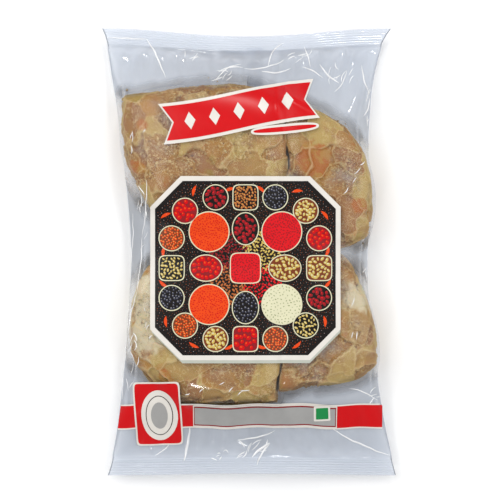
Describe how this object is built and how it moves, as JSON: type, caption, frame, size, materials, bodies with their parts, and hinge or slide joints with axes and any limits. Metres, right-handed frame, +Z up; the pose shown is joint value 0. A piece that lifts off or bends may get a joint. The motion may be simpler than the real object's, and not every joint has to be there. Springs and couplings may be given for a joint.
{
  "type": "sealed clear bag of jaggery lumps",
  "caption": "Clear pillow bag with crimped ends holding chunky tan lumps of jaggery, with a dark octagonal panel and a red band printed on its front film.",
  "frame": {"origin": "under the middle of the bag's outline, on the surface that the bag lies on", "axes": "+Z up, out of the printed face; +Y along the bag, towards its top end; +X across it, to the right of someone facing the print"},
  "size_m": [0.1836, 0.279, 0.041],
  "materials": {
    "film_over_jaggery": "glossy clear film drawn tight over tan jaggery",
    "clear_film": "clear, slightly milky polypropylene film, glossy, with fine creases",
    "jaggery": "solid cane jaggery, broken crystalline faces and smooth moist patches",
    "white_ink": "opaque white ink on the film",
    "red_ink": "red ink on the film",
    "black_ink": "near-black ink on the film",
    "green_ink": "green ink on the film",
    "orange_ink": "orange ink on the film",
    "brown_ink": "brown ink on the film",
    "cream_ink": "cream ink on the film"
  },
  "bodies": {
    "root": {"sealed_bag": "film_over_jaggery"}
  },
  "joints": []
}
